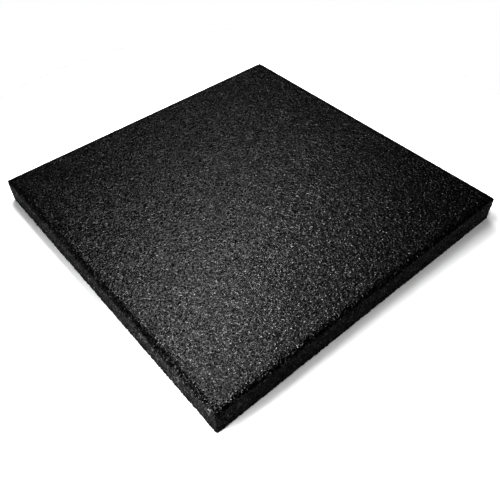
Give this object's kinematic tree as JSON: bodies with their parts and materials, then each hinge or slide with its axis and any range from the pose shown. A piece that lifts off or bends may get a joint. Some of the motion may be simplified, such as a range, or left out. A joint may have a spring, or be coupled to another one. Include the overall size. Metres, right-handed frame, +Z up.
{
  "type": "rubber gym floor tile",
  "caption": "Thick square floor tile of bonded black rubber crumb with a narrow chamfer round its top face, laid butted in a grid under gym equipment.",
  "frame": {"origin": "middle of the underside, on the floor that the tile lies on", "axes": "+Z up through the thickness to the walked-on top face; X and Y square to the side walls"},
  "size_m": [0.5, 0.5, 0.04],
  "materials": {
    "bonded_rubber_crumb": "black granules of 1 to 4 mm pressed and bonded with a binder: flat-pressed open-grained top with small glints, coarser and more ragged side walls"
  },
  "bodies": {
    "root": {"rubber_tile": "bonded_rubber_crumb"}
  },
  "joints": []
}
